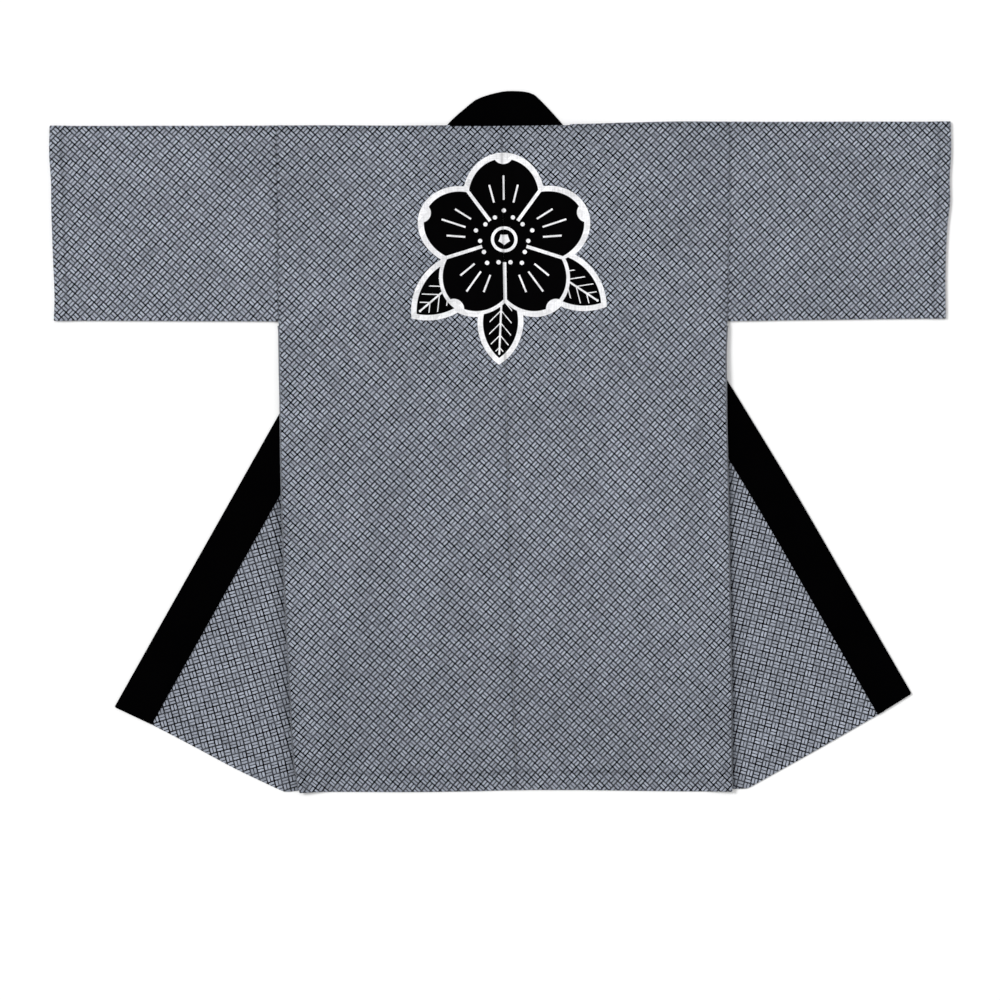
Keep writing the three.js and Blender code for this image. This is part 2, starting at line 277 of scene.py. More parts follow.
for side_name, side in SIDES.items():
    corner_drop = BODY_LENGTH - FRONT_SHORT
    corner_x = float(read_table(BODY_SEAMS, side["seam_column"], corner_drop))
    side["hem_corner"] = np.array((corner_x, SHOULDER_Y - corner_drop))
    side["fold"] = Line(to_point(side["fold_top"]), side["hem_corner"])
    for edge in ("free", "seam"):
        side[edge] = Line(to_point(side["collar_head"][edge]), to_point(side["collar_foot"][edge]))


def travelled(points):
    """How far along its path each point lies."""
    return np.concatenate([[0], np.cumsum(np.linalg.norm(np.diff(points, axis=0), axis=-1))])


def smooth_path(points, count):
    """Evenly spaced points on a smooth curve through the given ones."""
    points = np.asarray(points)
    padded = np.vstack([2 * points[:1] - points[1:2], points, 2 * points[-1:] - points[-2:-1]])
    part = np.linspace(0, 1, CURVE_STEPS, endpoint=False)[:, None]
    curve = []
    for a, b, c, d in zip(padded[:-3], padded[1:-2], padded[2:-1], padded[3:]):
        bend = 2 * a - 5 * b + 4 * c - d
        twist = 3 * b - a - 3 * c + d
        curve.append(b + 0.5 * part * (c - a + part * (bend + part * twist)))
    curve = np.vstack([*curve, points[-1:]])
    travel = travelled((curve[:, :2] + curve[:, 2:]) / 2)
    even = np.linspace(0, travel[-1], count)
    return np.stack([np.interp(even, travel, curve[:, k]) for k in range(4)], axis=1), even


def collar_stations():
    """Rows of free edge x, y and sewn edge x, y, from the left foot round the neck to the right foot."""
    rows = []
    for side in SIDES.values():
        inward = -side["sign"] * side["collar_bow"] * MM * np.maximum(1 - LEG_PARTS / BOW_FROM, 0)
        free = side["free"].at(side["free"].length * LEG_PARTS, inward)
        seam = side["seam"].at(side["seam"].length * LEG_PARTS, inward)
        rows.append(np.hstack([free, seam]))
    arch = [(*to_point(row[:2]), *to_point(row[2:])) for row in COLLAR_ARCH]
    return np.vstack([rows[0][::-1], arch, rows[1]])


STATIONS = collar_stations()
COLLAR_MIDDLE = (STATIONS[:, :2] + STATIONS[:, 2:]) / 2


def laid(points):
    """Points of the coat drawn with straight edges, moved to where the hands left them."""
    drop = SHOULDER_Y - points[..., 1]
    moved = points.copy()
    moved[..., 1] += read_table(LAID, 1, points[..., 0]) * fall(drop, 0, LAID_REACH["shoulder"])
    moved[..., 1] += read_table(LAID, 2, points[..., 0]) * fall(BODY_LENGTH - drop, 0, LAID_REACH["hem"])
    return moved


class Cloth:
    """The middle surface of a piece of cloth. Each of its points has a place in space, one on the flat
    cloth and the share of light that is lost there in seams and folds."""

    def __init__(self):
        self.points = np.zeros((0, 6))
        self.faces = []
        self.sewn = []

    def add(self, places, flat, shade=0.0):
        """Adds a grid of points and returns the grid of their numbers."""
        shape = places.shape[:-1]
        points = np.concatenate([places, flat, np.broadcast_to(shade, shape)[..., None]], axis=-1)
        numbers = len(self.points) + np.arange(np.prod(shape)).reshape(shape)
        self.points = np.vstack([self.points, points.reshape(-1, 6)])
        return numbers

    def patch(self, *grids):
        """Faces over rows of point numbers, one grid following the other."""
        rows = np.vstack([np.atleast_2d(grid) for grid in grids])
        corners = [rows[:-1, :-1], rows[:-1, 1:], rows[1:, 1:], rows[1:, :-1]]
        self.faces.append(np.stack(corners, axis=-1).reshape(-1, 4))

    def bend(self, upper_row, lower_row, bulge):
        """Rows on a half turn from one row of points to another, bulging along a direction."""
        upper, lower = self.points[upper_row], self.points[lower_row]
        radius = np.linalg.norm((upper - lower)[:, :3], axis=-1, keepdims=True) / 2
        rows = []
        for share in np.arange(1, BEND_STEPS) / BEND_STEPS:
            row = upper * (1 - share) + lower * share
            row[:, :3] = ((upper + lower) / 2 + (upper - lower) / 2 * math.cos(math.pi * share))[:, :3]
            row[:, :2] += np.asarray(bulge) * radius * math.sin(math.pi * share)
            rows.append(self.add(row[:, :3], row[:, 3:5], row[:, 5]))
        return np.vstack(rows)

    def make(self, name, thickness, finishes, outside_up):
        """The piece as an object, with its thickness laid on both sides of the middle surface."""
        faces = np.vstack(self.faces)
        if not outside_up:
            faces = faces[:, ::-1]
        mesh = bpy.data.meshes.new(name)
        mesh.from_pydata(laid(self.points[:, :3]).tolist(), [], faces.tolist())
        layout = mesh.uv_layers.new(name="flat_cloth")
        layout.data.foreach_set("uv", self.points[faces.reshape(-1), 3:5].astype(np.float32).reshape(-1))
        shade = mesh.attributes.new("seam_shade", "FLOAT", "POINT")
        shade.data.foreach_set("value", self.points[:, 5].astype(np.float32))
        for finish in finishes:
            mesh.materials.append(finish)
        piece = bpy.data.objects.new(name, mesh)
        bpy.context.collection.objects.link(piece)
        bpy.ops.object.select_all(action="DESELECT")
        piece.select_set(True)
        bpy.context.view_layer.objects.active = piece
        bpy.ops.object.mode_set(mode="EDIT")
        bpy.ops.mesh.select_all(action="SELECT")
        bpy.ops.mesh.remove_doubles(threshold=SAME_POINT)
        bpy.ops.object.mode_set(mode="OBJECT")
        bpy.ops.object.modifier_add(type="SOLIDIFY")
        wall = piece.modifiers[-1]
        wall.thickness = thickness
        wall.offset = 0
        wall.material_offset = len(finishes) - 1
        bpy.ops.object.modifier_apply(modifier=wall.name)
        bpy.ops.object.shade_smooth_by_angle(angle=math.radians(50))
        return piece


def feed(sockets, inputs):
    """Links or sets sockets by their names or numbers."""
    for key, value in inputs.items():
        value = getattr(value, "socket", value)
        if isinstance(value, bpy.types.NodeSocket):
            value.id_data.links.new(value, sockets[key])
        else:
            sockets[key].default_value = value


def add_node(tree, kind, inputs=None, **settings):
    """Adds a node to a shader tree and returns its outputs."""
    node = tree.nodes.new(kind)
    for key, value in settings.items():
        setattr(node, key, value)
    feed(node.inputs, inputs or {})
    return node.outputs


def tree_of(value):
    """The shader tree of a value or socket."""
    return getattr(value, "socket", value).id_data


def reckoning(operation):
    """A function that adds a math node to the shader tree of its values."""
    def reckon(*values):
        tree = next(tree_of(value) for value in values if isinstance(value, Value))
        return Value(add_node(tree, "ShaderNodeMath", dict(enumerate(values)), operation=operation)[0])
    return reckon


class Value:
    """A number in a shader tree that can be reckoned with like any other."""

    def __init__(self, socket):
        self.socket = socket

    def __rsub__(self, other):
        return reckoning("SUBTRACT")(other, self)

    __add__ = reckoning("ADD")
    __sub__ = reckoning("SUBTRACT")
    __mul__ = reckoning("MULTIPLY")
    __truediv__ = reckoning("DIVIDE")
    __lt__ = reckoning("LESS_THAN")
    __gt__ = reckoning("GREATER_THAN")
    __abs__ = reckoning("ABSOLUTE")


larger = reckoning("MAXIMUM")
smaller = reckoning("MINIMUM")
sine = reckoning("SINE")
fraction = reckoning("FRACT")


def span(a, b):
    """The length of a vector from its two parts."""
    return reckoning("SQRT")(a * a + b * b)


def remap(value, low, high, to_low=0.0, to_high=1.0):
    """A value from one range moved to another and held inside it."""
    limits = {0: value, 1: low, 2: high, 3: to_low, 4: to_high}
    return Value(add_node(tree_of(value), "ShaderNodeMapRange", limits)[0])


def noise(place, scale, detail):
    """Soft clouds from 0 to 1 over places in metres."""
    inputs = {"Vector": place, "Scale": scale, "Detail": detail}
    return Value(add_node(tree_of(place), "ShaderNodeTexNoise", inputs)["Fac"])


def blend(share, first, second):
    """One colour going over into another."""
    return add_node(tree_of(share), "ShaderNodeMix", {0: share, 6: first, 7: second}, data_type="RGBA")[2]


def relief(height, strength, distance):
    inputs = {"Height": height, "Strength": strength, "Distance": distance}
    return add_node(tree_of(height), "ShaderNodeBump", inputs)[0]


def with_vectors(operation, first, second):
    """A vector from two others, or from one and a scale."""
    inputs = {0: first, "Scale" if operation == "SCALE" else 1: second}
    return add_node(tree_of(first), "ShaderNodeVectorMath", inputs, operation=operation)[0]


def new_group(name, inputs, outputs):
    """An empty shader group with named inputs (name: kind, value) and outputs (name: kind)."""
    group = bpy.data.node_groups.new(name, "ShaderNodeTree")
    for label, (kind, value) in inputs.items():
        socket = group.interface.new_socket(label, in_out="INPUT", socket_type=kind)
        if value is not None:
            socket.default_value = value
    for label, kind in outputs.items():
        group.interface.new_socket(label, in_out="OUTPUT", socket_type=kind)
    return group, group.nodes.new("NodeGroupInput").outputs, group.nodes.new("NodeGroupOutput").inputs


NUMBER, VECTOR = "NodeSocketFloat", "NodeSocketVector"
SLUB_RUNS = ((900, 60, 1), (60, 900, 1))  # noise drawn out along the one thread and along the other
BLACK_DYE = (0.0008, 0.0007, 0.0009, 1)
BLACK_THREAD, PRINTED_THREAD = 0.00055, 0.0007  # metres from thread to thread in the two cloths


def make_weave_group():
    """Plain weave: threads going over and under each other, some thicker than others."""
    inputs = {"Vector": (VECTOR, None), "Thread": (NUMBER, 0.0006), "Slubs": (NUMBER, 0.5)}
    group, source, target = new_group("plain_weave", inputs, {"Height": NUMBER, "Thread shade": NUMBER})
    place = add_node(group, "ShaderNodeSeparateXYZ", {0: source["Vector"]})
    waves = [sine(Value(place[axis]) * math.pi / source["Thread"]) for axis in ("X", "Y")]
    slubs = [noise(with_vectors("MULTIPLY", source["Vector"], run), 1.0, 1.0) for run in SLUB_RUNS]
    thick = (slubs[0] + slubs[1] - 1.0) * source["Slubs"]
    feed(target, {"Height": waves[0] * waves[1] * 0.5 + 0.5 + thick, "Thread shade": thick + 1.0})
    return group


weave_group = make_weave_group()


def new_finish(name):
    finish = bpy.data.materials.new(name)
    finish.use_nodes = True
    return finish, finish.node_tree, finish.node_tree.nodes["Principled BSDF"].inputs


def make_black_cotton():
    finish, tree, shader = new_finish("black_cotton")
    flat = add_node(tree, "ShaderNodeUVMap", uv_map="flat_cloth")[0]
    woven = {"Vector": flat, "Thread": BLACK_THREAD}
    weave = add_node(tree, "ShaderNodeGroup", woven, node_tree=weave_group)
    worn = noise(flat, 14.0, 3.0)
    shade = worn * weave["Thread shade"]
    feed(shader, {
        "Base Color": blend(shade, (0.0001, 0.0001, 0.0002, 1), BLACK_DYE),
        "Roughness": remap(worn, 0.0, 1.0, 0.82, 0.95),
        "Normal": relief(weave["Height"], 0.6, 0.00015),
        "Specular IOR Level": 0.006,
    })
    return finish


def make_black_thread():
    finish, tree, shader = new_finish("black_thread")
    fibres = noise(add_node(tree, "ShaderNodeTexCoord")["Object"], 3500.0, 2.0)
    feed(shader, {
        "Base Color": blend(fibres, (0.0008, 0.0008, 0.001, 1), (0.006, 0.0056, 0.0066, 1)),
        "Roughness": remap(fibres, 0.0, 1.0, 0.5, 0.8),
        "Normal": relief(fibres, 1.0, 0.0001),
        "Specular IOR Level": 0.2,
    })
    return finish


black_cotton = make_black_cotton()
black_thread = make_black_thread()

STITCH_LENGTH = 2.7 * MM
STITCH_PITCH = 4.1 * MM
THREAD = 0.55 * MM
STITCH_SEED = 11
ABOVE_ALL = 0.05


def model_stitch():
    """Corners and faces of one stitch: a short length of thread whose ends dip into the cloth."""
    bpy.ops.object.select_all(action="DESELECT")
    bpy.ops.mesh.primitive_uv_sphere_add(segments=6, ring_count=6, radius=0.5, rotation=(0, math.pi / 2, 0))
    stitch = bpy.context.object
    bpy.ops.transform.resize(value=(STITCH_LENGTH, THREAD, THREAD * 0.8))
    bpy.ops.object.transform_apply(rotation=True, scale=True)
    for vertex in stitch.data.vertices:
        vertex.select = abs(vertex.co.x) > STITCH_LENGTH * 0.4
    bpy.ops.object.mode_set(mode="EDIT")
    bpy.ops.transform.translate(value=(0, 0, -THREAD * 0.5))
    bpy.ops.object.mode_set(mode="OBJECT")
    corners = np.array([vertex.co for vertex in stitch.data.vertices])
    faces = [tuple(face.vertices) for face in stitch.data.polygons]
    bpy.data.objects.remove(stitch)
    return corners, faces


stitch_corners, stitch_faces = model_stitch()


def sew(name, piece, lines):
    """Rows of stitches on top of a piece, along lines drawn over the straight coat."""
    mesh = piece.data
    surface = BVHTree.FromPolygons([v.co for v in mesh.vertices], [f.vertices for f in mesh.polygons])
    draws = np.random.default_rng(STITCH_SEED)
    points, faces = [], []
    for line in lines:
        line = laid(np.asarray(line))
        travel = travelled(line)
        middles = np.arange(STITCH_PITCH, travel[-1] - STITCH_PITCH / 2, STITCH_PITCH)
        for middle in middles + draws.normal(0, 0.02 * STITCH_PITCH, len(middles)):
            marks = np.array([middle - STITCH_LENGTH / 2, middle, middle + STITCH_LENGTH / 2])
            start, centre, end = np.column_stack([np.interp(marks, travel, line[:, k]) for k in (0, 1)])
            place, normal, _, _ = surface.ray_cast((*centre, ABOVE_ALL), (0, 0, -1))
            if place is None:
                continue
            along = Vector((*(end - start), 0))
            along = (along - normal * along.dot(normal)).normalized()
            turned = np.array([along, normal.cross(along), normal])
            first = len(points) * len(stitch_corners)
            faces += [[first + corner for corner in face] for face in stitch_faces]
            points.append(stitch_corners @ turned + np.array(place))
    thread_mesh = bpy.data.meshes.new(name)
    thread_mesh.from_pydata(np.vstack(points).tolist(), [], faces)
    thread_mesh.materials.append(black_thread)
    thread_mesh.shade_smooth()
    thread = bpy.data.objects.new(name, thread_mesh)
    bpy.context.collection.objects.link(thread)
    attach(thread, "root")
    return thread


def half_turn(first, last):
    """Heights and bulges of the rows of a half turn between two layers."""
    height = (first + last) / 2 + (first - last) / 2 * np.cos(HALF_TURN)
    return height, abs(first - last) / 2 * np.sin(HALF_TURN)


def make_collar():
    count = int(BAND_LENGTH / COLLAR_STEP)
    stations, travel = smooth_path(STATIONS, count)
    free, seam = stations[:, :2], stations[:, 2:]
    width = np.linalg.norm(free - seam, axis=1)
    inner = np.linspace(0, 1, BAND_POINTS)
    lower, upper = np.full(BAND_POINTS, BAND_LOWER), np.full(BAND_POINTS, BAND_UPPER)
    # Across the band: share of its width, reach beyond that, height and the way along the cloth
    edge_height, edge_reach = half_turn(BAND_LOWER, BAND_UPPER)
    turn_height, turn_reach = half_turn(BAND_UPPER, BAND_TURNING)
    turning = np.array((0, 3 * MM, TURNING_WIDTH))
    share = np.concatenate([inner, np.ones(BEND_STEPS - 1), inner[::-1], np.zeros(BEND_STEPS + 2)])
    reach = np.concatenate([0 * inner, edge_reach, 0 * inner, -turn_reach, turning])
    height = np.concatenate([lower, edge_height, upper, turn_height, BAND_TURNING + 0 * turning])
    first_on_top = BAND_POINTS + len(edge_height)
    on_top = slice(first_on_top, first_on_top + BAND_POINTS)
    crown = np.zeros(len(share))
    crown[on_top] = np.sin(math.pi * inner[::-1]) ** 0.6
    across = (free - seam) / width[:, None]
    line = share * (width - (BAND_UPPER - BAND_LOWER) / 2)[:, None] + reach
    points = np.zeros((count, len(share), 3))
    points[:, :, :2] = seam[:, None] + across[:, None] * line[:, :, None]
    wave = 0.5 + 0.3 * np.sin(travel / 0.031 + 1.3 * np.sin(travel / 0.09)) + 0.2 * np.sin(travel / 0.013)
    points[:, :, 2] = height + crown * BAND_CROWN * wave[:, None]
    steps = np.hypot(np.diff(share * COLLAR_WIDTH + reach), np.diff(height))
    flat_across = np.concatenate([[0], np.cumsum(steps)])
    cloth = Cloth()
    grid = cloth.add(points, pairs(flat_across, travel[:, None]))
    cloth.patch(grid)
    # Each foot is closed by turning its ends from the upper layer to the lower one
    bottom, top = grid[:, :BAND_POINTS], grid[:, on_top][:, ::-1]
    for end, inwards in ((0, 1), (-1, -1)):
        heading = points[end + inwards, 4, :2] - points[end, 4, :2]
        rows = cloth.bend(top[end], bottom[end], -heading / np.linalg.norm(heading) * 0.6)
        cloth.patch(*((top[end], rows, bottom[end]) if end else (bottom[end], rows[::-1], top[end])))
    # The two rows of stitches that show lie on the legs, beside the sewn edge
    stitching = seam + across * COLLAR_STITCHING
    shown = int(count * STITCHED_SHARE)
    cloth.sewn = [stitching[:shown], stitching[-shown:]]
    return cloth


collar_cloth = make_collar()
collar_band = collar_cloth.make("collar_band", BAND_CLOTH, [black_cotton], True)
collar_stitches = sew("collar_stitches", collar_band, collar_cloth.sewn)
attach(collar_band, "root")
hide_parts("collar")


# Body panels, left and right.
# Each is one length of printed cotton: back, fold over the shoulder, front. They are sewn together down
# the middle of the back and closed at the sides. The hem is turned in and stitched.
CLOTH = 0.8 * MM
LAYER_ROOM = 1.2 * MM  # room that one layer takes in a pile
GAP = 0.3 * MM  # between the flap and the front that lies on it
AIR = 1.0 * MM  # air left between cloth layers that lie loosely on each other
FOLD_RADIUS = (LAYER_ROOM + AIR) / 2  # of the turn over the shoulder and round the sleeves
SPREAD = 80 * MM  # how softly cloth comes down beside the collar
SETTLE = 50 * MM  # and inward of the fold under the back
FOLD_CLEAR = 4 * MM  # the back stays up this far inward of the fold
COLLAR_ROOM = 3.1 * MM  # the back and the fronts lie this much higher over the collar
FOLD_START = 12 * MM  # the fold starts this far below the collar's crossing of the fold
SEAM_START = 49 * MM  # and the flap meets the collar seam this far below it
CUT_WIDTH = 290 * MM
SEAM_PLAY = 0.05 * MM  # from the edge of a cloth to the line of its seam
SIDE_TURN = 1.1 * MM  # room for the turn of the cloth where the side seam is closed
CORNER_PLAY = 0.6 * MM  # left of the front's width at its hem corner
FLAP_ALLOWANCE = 9 * MM  # of the flap's edge inside the collar
FLAP_BEND = 14  # how sharply the flap's hem turns its corner
HEM_WIDTH = 23 * MM
TURNED_LAYER = 0.85 * MM  # from a layer to its turned-in edge
ROW_STEP = 4.6 * MM

ALLOWANCE_RISE = 0.35 * MM  # of the cloth over a seam's allowance
CENTRE_RISE = 0.55 * MM
CENTRE_GROOVE, CENTRE_REACH = 0.85 * MM, 1.3 * MM
ARMHOLE_GROOVE, ARMHOLE_REACH = 0.8 * MM, 1.4 * MM
FLAP_RISE = 0.65 * MM  # beside the collar
STITCH_GROOVE = 0.35 * MM
GATHER_RISE = 0.16 * MM

# Share of the light lost in the seams, at the stitched hem and under the shoulder fold
SEAM_SHADE, SEAM_SHADE_REACH = 0.34, 1.8 * MM
HEM_SHADE, HEM_SHADE_REACH = 0.26, 2 * MM
SHOULDER_SHADE, SHOULDER_SHADE_REACH = 0.22, 4 * MM
EDGE_SHADE = {"left": 0.14, "right": 0.1}  # just inside the side seams
EDGE_SHADE_REACH = 5 * MM
CORNER_SHADE = 0.18  # in the shallow dip of the side seam's allowance above the hem
FLAP_SHADE = {"left": 0.5, "right": 0.42}  # on the flap beside the body's edge
FLAP_SHADE_REACH = {"left": 9 * MM, "right": 7 * MM}
BACK_BROAD_SHADE = 0.055  # painted shade over the whole body, which is thus a little darker than the left sleeve
LOW_BROAD_SHADE = 0.1  # and more painted shade towards its hem, where the light falls off
# painted shade over each whole flap
FLAP_BROAD_SHADE = 0.085

# Soft ridges that the hands left when the coat was laid: from x, y to x, y, width and share of the rise
CREASE_RISE = 1.6 * MM
CREASES = {
    "left": [
        (-280, 150, -150, 20, 20, 1.1),
        (-285, 120, -190, -90, 16, 0.8),
        (-60, 380, -150, 250, 24, 0.9),
        (-230, 330, -120, 300, 15, 0.6),
        (-90, 60, -60, -230, 26, 1.0),
        (-180, -60, -170, -330, 30, 1.2),
        (-245, -200, -225, -420, 18, 0.8),
        (-40, -260, -30, -440, 22, 0.7),
        (-200, 210, -90, 160, 13, 0.5),
        (-130, -120, -60, -190, 15, 0.5),
    ],
    "right": [
        (285, 152, 170, 40, 18, 1.0),
        (290, 110, 215, -120, 20, 0.9),
        (90, 385, 190, 270, 22, 0.9),
        (240, 350, 130, 310, 14, 0.6),
        (70, 90, 95, -160, 28, 1.0),
        (180, -40, 200, -310, 26, 1.1),
        (262, -160, 250, -400, 17, 0.8),
        (90, -240, 60, -445, 24, 0.8),
        (210, 200, 110, 140, 15, 0.5),
        (150, -110, 90, -200, 13, 0.4),
    ],
}


def near(distance, reach):
    """1 on a line, softly down to 0 beside it."""
    return np.exp(-((distance / reach) ** 2))


def crease_height(points, strokes):
    height = np.zeros(points.shape[:-1])
    for x1, y1, x2, y2, width, rise in strokes:
        line = Line((x1 * MM, y1 * MM), (x2 * MM, y2 * MM))
        ahead = line.ahead(points)
        wander = 0.35 * width * MM * np.sin(7 * np.clip(ahead / line.length, 0, 1) + x1)
        past = np.maximum(np.abs(ahead - line.length / 2) - line.length * 0.3, 0)
        ridge = near(line.aside(points) - wander, width * MM) * near(past, line.length * 0.22)
        height += rise * CREASE_RISE * ridge
    return height


# Adds a broad share of painted shade to a share of painted shade
def with_broad_shade(shade, dull):
    return 1 - (1 - shade) * (1 - dull)


def pucker(distance, travel):
    """Small gathers that a seam's thread pulls into the cloth beside it."""
    beat = np.sin(travel / (2.3 * MM) + 1.7 * np.sin(travel / (31 * MM))) * np.sin(travel / (47 * MM) + 0.6)
    return GATHER_RISE * (1 + beat) * near(distance - 5 * MM, 6 * MM)


def stitched_line(distance, travel, depth, gathers):
    """The groove of a row of stitches, with its gathers."""
    return gathers * pucker(np.abs(distance), travel) - depth * near(distance, 1.6 * MM)


def collar_lift(points):
    return COLLAR_ROOM * fall(path_distance(points, COLLAR_MIDDLE), COLLAR_WIDTH / 2, SPREAD)


def beyond(side, line, points):
    """How far points lie outward of a side's fold or of its collar seam."""
    return side["sign"] * side[line].aside(points)


def flap_lift(side, points):
    flap = (LAYER_ROOM + GAP) * fall(beyond(side, "seam", points), 0, SPREAD)
    return np.maximum(flap, collar_lift(points))


def seam_x(points, column):
    return read_table(BODY_SEAMS, column, SHOULDER_Y - points[..., 1])


def armhole_part(side, points):
    """1 down the armhole, 0 below it."""
    return fall(SHOULDER_Y - points[..., 1], side["sleeve_depth"] * MM, 8 * MM)


def back_relief(points):
    """What seams, hem and creases add to the height of the back."""
    x, y = points[..., 0], points[..., 1]
    to_centre = np.abs(x - seam_x(points, CENTRE_SEAM))
    height = CENTRE_RISE * fall(to_centre, 8 * MM, 5 * MM) - CENTRE_GROOVE * near(to_centre, CENTRE_REACH)
    height += pucker(to_centre, y)
    for name, side in SIDES.items():
        to_side = np.abs(x - seam_x(points, side["seam_column"]))
        armhole = armhole_part(side, points)
        height += ALLOWANCE_RISE * fall(to_side, 9 * MM, 5 * MM)
        height -= ARMHOLE_GROOVE * armhole * near(to_side, ARMHOLE_REACH)
        height += pucker(to_side, y) * (0.6 + 0.4 * armhole)
        height += crease_height(points, CREASES[name])
    return height + stitched_line(y - HEM_Y - HEM_WIDTH, x, 0.4 * MM, 0.8)


def back_shade(points):
    """The share of the light that the seams, the hem and the shoulder fold of the back lose."""
    x, y = points[..., 0], points[..., 1]
    shade = SEAM_SHADE * near(x - seam_x(points, CENTRE_SEAM), SEAM_SHADE_REACH)
    over_flap = 1 - fall(SHOULDER_Y - y, 440 * MM, 60 * MM)
    for name, side in SIDES.items():
        to_side = side["sign"] * (seam_x(points, side["seam_column"]) - x)
        seam = SEAM_SHADE * armhole_part(side, points) * near(to_side, SEAM_SHADE_REACH)
        edge = EDGE_SHADE[name] * np.exp(-np.maximum(to_side, 0) / EDGE_SHADE_REACH)
        corner = CORNER_SHADE * near(to_side - 9 * MM, 6 * MM) * fall(y - HEM_Y, 30 * MM, 35 * MM)
        shade = np.maximum.reduce([shade, seam, over_flap * edge, over_flap * corner])
    hem = HEM_SHADE * near(y - HEM_Y - HEM_WIDTH, HEM_SHADE_REACH)
    shade = np.maximum.reduce([shade, hem, shoulder_shade(points)])
    # Painted shade over the whole back, more towards its hem
    return with_broad_shade(shade, BACK_BROAD_SHADE + LOW_BROAD_SHADE * fall(y - HEM_Y, 100 * MM, 200 * MM))


def shoulder_shade(points):
    return SHOULDER_SHADE * near(SHOULDER_Y - points[..., 1] - SHOULDER_SHADE_REACH, SHOULDER_SHADE_REACH)


def flap_shade(name, points, to_hem):
    outside = np.abs(points[..., 0] - seam_x(points, SIDES[name]["seam_column"]))
    shade = FLAP_SHADE[name] * np.exp(-outside / FLAP_SHADE_REACH[name])
    return with_broad_shade(np.maximum(shade, HEM_SHADE * near(to_hem - HEM_WIDTH, HEM_SHADE_REACH)), FLAP_BROAD_SHADE)


def hem_lift(distance):
    return TURNED_LAYER * fall(distance, HEM_WIDTH, 9 * MM)


def front_base(side, points):
    corner = np.linalg.norm(points - side["hem_corner"], axis=-1)
    return CLOTH / 2 + flap_lift(side, points) + TURNED_LAYER * fall(corner, 12 * MM, 40 * MM)


def back_height(points):
    lift = np.maximum(collar_lift(points), hem_lift(points[..., 1] - HEM_Y))
    for side in SIDES.values():
        layers = front_base(side, points) - CLOTH / 2 + LAYER_ROOM + AIR
        lift = np.maximum(lift, layers * fall(-beyond(side, "fold", points), FOLD_CLEAR, SETTLE))
    return CLOTH / 2 + np.maximum(lift + back_relief(points), 0)


def graded(length, first, last, step):
    """Distances from 0 to length, with small steps at one or both ends that grow to the full step."""
    ends = []
    for small in (first, last):
        end = [small]
        while end[-1] < step:
            end.append(end[-1] * 1.5)
        ends.append(end)
    middle = max(2, round((length - sum(ends[0]) - sum(ends[1])) / step))
    steps = np.array([*ends[0], *[step] * middle, *ends[1][::-1]])
    return np.concatenate([[0], np.cumsum(steps)]) * length / steps.sum()


# Rows above the hem, closer at its edge and at its stitching
HEM_ROWS = MM * np.array((0, 1, 3, 6, 10, 15, 19, 21, 22.2, 23, 23.8, 25, 27.5))


def turned_edge(depth, rows):
    """Rows of an edge turned in: distance from the edge, drop below the layer, way along the cloth."""
    drop, reach = half_turn(0.0, TURNED_LAYER)
    strip = rows[(rows > 0) & (rows < depth)]
    away = np.concatenate([[depth], strip[::-1], [0], -reach[::-1]])
    below = np.concatenate([np.full(len(strip) + 2, TURNED_LAYER), drop[::-1]])
    travel = np.concatenate([[0], np.cumsum(np.hypot(np.diff(away), np.diff(below)))])
    total = travel[-1] + math.hypot(away[-1], below[-1])
    return away, below, travel - total


def hemmed_rows(length, hem_rows, hem_width, last_step):
    """Rows of a piece from the raw end of its turned-in edge on, as turned_edge gives them."""
    plain = hem_rows[-1] + graded(length - hem_rows[-1], 3 * MM, last_step, ROW_STEP)[1:]
    plain = np.concatenate([hem_rows, plain])
    turned = turned_edge(hem_width - 1 * MM, hem_rows)
    return [np.concatenate(rows) for rows in zip(turned, (plain, 0 * plain, plain))]


